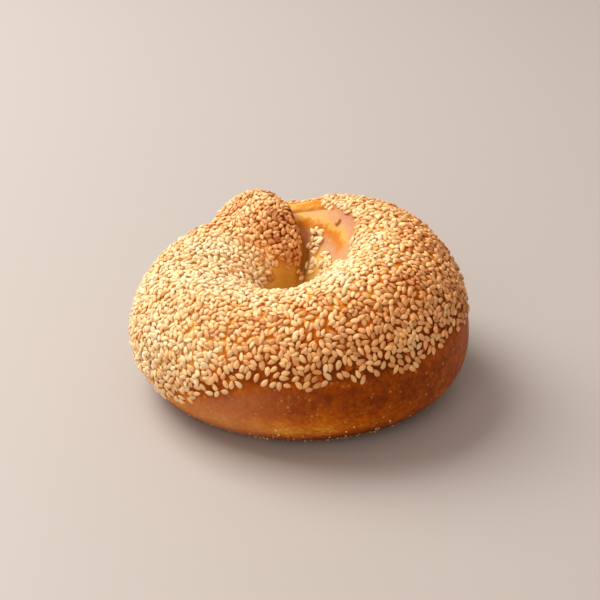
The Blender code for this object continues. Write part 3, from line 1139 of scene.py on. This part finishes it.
# The rosy tone low on the crust is partly a painted sheen.
baked = blend_colours(tree, part_of(tree, "rosy_tone_and_sheen", 0.55), baked, (0.60, 0.24, 0.105))
flank_shift = math_node(tree, "MULTIPLY", math_node(tree, "ADD", shift, fine_shift), 0.5)
# The flank's ramp holds painted light: its darkest stops are painted shade under the overhanging seeds,
# the light yellow stop is a painted highlight on the ridge, and the pink stops are a painted sheen.
flank_tone_and_light = colour_ramp(tree, math_node(tree, "ADD", read_mask(tree, "down_flank"), flank_shift), [
    (0.0, (0.26, 0.105, 0.048)), (0.11, (0.47, 0.20, 0.095)), (0.24, (0.54, 0.27, 0.145)),
    (0.33, (0.59, 0.34, 0.140)), (0.42, (0.66, 0.39, 0.100)), (0.48, (0.58, 0.25, 0.026)),
    (0.55, (0.54, 0.165, 0.006)), (0.65, (0.52, 0.22, 0.065)), (0.77, (0.51, 0.27, 0.145)),
    (0.92, (0.56, 0.33, 0.14)), (1.0, (0.66, 0.38, 0.11))])
flank_tone_and_light = blend_colours(tree, read_mask(tree, "rosy"), flank_tone_and_light, (0.53, 0.285, 0.135))
colour = blend_colours(tree, read_mask(tree, "bare"), baked, flank_tone_and_light)

# %% [markdown]
# Over these come the places that browned in their own way: the pale rim, the ochre hole, and
# small red glints where sugar caramelised between the seeds. The crevices get painted shade.

# %% The crust's rim, hole, crevices and glints
# The crevices' tint is painted shade.
for mask_name, share, tint in (("rim", 0.75, (0.62, 0.345, 0.165)),
                               ("in_hole", 0.85, (0.68, 0.395, 0.068)),
                               ("crevice_shade", 0.85, (0.43, 0.130, 0.006))):
    colour = blend_colours(tree, part_of(tree, mask_name, share), colour, tint)
glints, _ = mottled(tree, 330.0, 900.0, 1.3)
glint_mask = math_node(tree, "MULTIPLY", spread(tree, glints, 0.78, 0.95), part_of(tree, "seeded", 0.60))
colour = blend_colours(tree, glint_mask, colour, (0.72, 0.14, 0.008))

# %% [markdown]
# Boiled crust is dotted with tiny pale blisters, no two of the same size. Each cell of a Voronoi
# texture gives one dot, and the cell's own random colour decides how strong it is. Light enters a
# little way into the crust, and its shine is weak and broken.

# %% The crust's dots and surface
where = node(tree, "ShaderNodeTexCoord").outputs["Object"]
blisters = node(tree, "ShaderNodeTexVoronoi", {"Vector": where, "Scale": 560.0})
dot = spread(tree, blisters.outputs["Distance"], 0.30, 0.08)
strength = spread(tree, blisters.outputs["Color"], 0.45, 0.95, high=0.70)
colour = blend_colours(tree, math_node(tree, "MULTIPLY", dot, strength), colour, (0.78, 0.42, 0.14))
feed_all(tree, shader, {
    "Base Color": colour, "Roughness": math_node(tree, "MULTIPLY_ADD", specks, 0.18, 0.42),
    "Specular IOR Level": 0.07, "Subsurface Weight": 0.06,
    "Subsurface Radius": (1.0, 0.45, 0.2), "Subsurface Scale": 1.5 * MM})
add_skin(tree, shader, 0.35, 0.2 * MM, grain_size=1700.0, pore_size=620.0, pore_depth=0.5)
crust_mesh.materials.append(crust_material)
print("crust nodes:", len(tree.nodes))

# %% [markdown]
# ### The seeds' finish
#
# A hulled seed is creamy and lets a little light through, with a browner point. Its underside,
# where it lies on the crust, is darker, which is painted shade. One material serves all four kinds:
# it reads each seed's toasting, and a second number makes neighbours differ a little in lightness.

# %% The seeds' material
seed_material, tree, shader = new_material("sesame_seed")
patches, specks = mottled(tree, 500.0, 1600.0, 1.0)
shift = math_node(tree, "MULTIPLY_ADD", patches, 0.20, -0.10)
toasted = math_node(tree, "ADD", read_mask(tree, "toast"), shift)
point_brown = spread(tree, read_mask(tree, "along"), 0.30, 0.0, high=0.22)
# Painted shade on the underside of each seed.
underside_shade = spread(tree, read_mask(tree, "under"), 0.45, 0.95, high=0.20)
toasted = math_node(tree, "ADD", math_node(tree, "ADD", toasted, point_brown), underside_shade)
colour = colour_ramp(tree, toasted, [
    (0.0, (0.94, 0.755, 0.49)), (0.22, (0.93, 0.665, 0.345)), (0.45, (0.91, 0.51, 0.205)),
    (0.72, (0.70, 0.30, 0.090)), (1.0, (0.43, 0.14, 0.028))])
lightness = spread(tree, read_mask(tree, "lot"), 0.0, 1.0, low=0.84, high=1.06)
colour = blend_colours(tree, 1.0, colour, lightness, mode="MULTIPLY")
feed_all(tree, shader, {
    "Base Color": colour, "Roughness": math_node(tree, "MULTIPLY_ADD", specks, 0.16, 0.40),
    "Specular IOR Level": 0.32, "Subsurface Weight": 0.15,
    "Subsurface Radius": (1.0, 0.6, 0.3), "Subsurface Scale": 0.8 * MM})
add_skin(tree, shader, 0.25, 0.1 * MM, grain_size=3200.0, pore_size=1500.0, pore_depth=0.3)
for seeds in seed_objects:
    seeds.data.materials.append(seed_material)
print("seed nodes:", len(tree.nodes))

# %% [markdown]
# ### The crumbs' finish
#
# Crumbs are dry and dull, from pale meal to toasted gold, with a rough broken surface.

# %% The crumbs' material
crumb_material, tree, shader = new_material("dry_crumb")
patches, _ = mottled(tree, 900.0, 3000.0, 1.2)
shift = math_node(tree, "MULTIPLY_ADD", patches, 0.4, -0.2)
colour = colour_ramp(tree, math_node(tree, "ADD", read_mask(tree, "toast"), shift), [
    (0.0, (0.90, 0.66, 0.34)), (0.6, (0.84, 0.46, 0.13)), (1.0, (0.62, 0.24, 0.04))])
feed_all(tree, shader, {"Base Color": colour, "Roughness": 0.75})
add_skin(tree, shader, 0.4, 0.06 * MM, grain_size=6000.0, pore_size=3000.0, pore_depth=0.4)
crumbs.data.materials.append(crumb_material)

# %% [markdown]
# ## The table, the light and the camera
#
# The bagel is shown on a plain pale floor that curves up far away on every side, like the paper
# of a studio, so that no horizon shows from low down. It is a profile turned round the middle.

# %% The floor
FLOOR_FLAT, FLOOR_BEND = 1.5, 0.45      # metres: where it starts to rise, and the bend's radius
bend = np.radians(np.linspace(0.0, 80.0, 9))
profile_out = np.concatenate([[0.0, 0.4, 0.9], FLOOR_FLAT + FLOOR_BEND * np.sin(bend), [2.05]])
profile_up = np.concatenate([[0.0, 0.0, 0.0], FLOOR_BEND - FLOOR_BEND * np.cos(bend), [0.95]])
around = np.radians(np.arange(0.0, 360.0, 7.5))
floor_points = [(out * math.cos(angle), out * math.sin(angle), up)
                for angle in around for out, up in zip(profile_out, profile_up)]
steps, spokes = len(profile_out), len(around)
floor_faces = [(spoke * steps + step, spoke * steps + step + 1,
                (spoke + 1) % spokes * steps + step + 1, (spoke + 1) % spokes * steps + step)
               for spoke in range(spokes) for step in range(steps - 1)]
floor_mesh = bpy.data.meshes.new("floor")
floor_mesh.from_pydata(floor_points, [], floor_faces)
floor_mesh.shade_smooth()
floor = add_object("floor", floor_mesh)
floor_material, tree, shader = new_material("pale_floor")
feed_all(tree, shader, {"Base Color": (0.43, 0.405, 0.39), "Roughness": 0.55})
floor_mesh.materials.append(floor_material)

# %% [markdown]
# A large soft light stands behind the bagel to the left, as a window would. A weak one fills the
# front from the left, and a warm even light comes from everywhere, as from a wooden room.

# %% The lights
def soft_light(name, place, aim, size, power, colour):
    """A square area light that looks at a point."""
    data = bpy.data.lights.new(name, "AREA")
    data.shape, data.size, data.energy, data.color = "SQUARE", size, power, colour
    light = add_object(name, data)
    light.location = place
    light.rotation_euler = (Vector(aim) - Vector(place)).to_track_quat("-Z", "Y").to_euler()


middle = (0.0, 0.0, 0.02)
soft_light("key", (-0.56, 0.36, 0.80), middle, 0.70, 14.6, (1.0, 0.965, 0.91))
soft_light("fill", (-0.35, -0.95, 0.60), middle, 0.9, 4.2, (1.0, 0.88, 0.80))
world = bpy.data.worlds.new("room")
world.use_nodes = True
backdrop = world.node_tree.nodes["Background"]
backdrop.inputs["Color"].default_value = (1.0, 0.81, 0.69, 1.0)
backdrop.inputs["Strength"].default_value = 0.57
bpy.context.scene.world = world

# %% [markdown]
# The camera looks from the front and down at about 29 degrees, as someone at the table would. A
# long lens keeps the near side of the ring from swelling.

# %% The camera
LOOK_DOWN, CAMERA_DISTANCE = math.radians(28.8), 0.420
target = Vector((-0.35, -0.5, 25.6)) * MM
camera_data = bpy.data.cameras.new("camera")
camera_data.lens, camera_data.sensor_width = 83.16, 36.0
camera_data.clip_start = 0.01
camera = add_object("camera", camera_data)
camera.location = target + CAMERA_DISTANCE * Vector((0.0, -math.cos(LOOK_DOWN), math.sin(LOOK_DOWN)))
camera.rotation_euler = (math.pi / 2.0 - LOOK_DOWN, 0.0, 0.0)
bpy.context.scene.camera = camera
bpy.context.scene.view_settings.view_transform = "Standard"
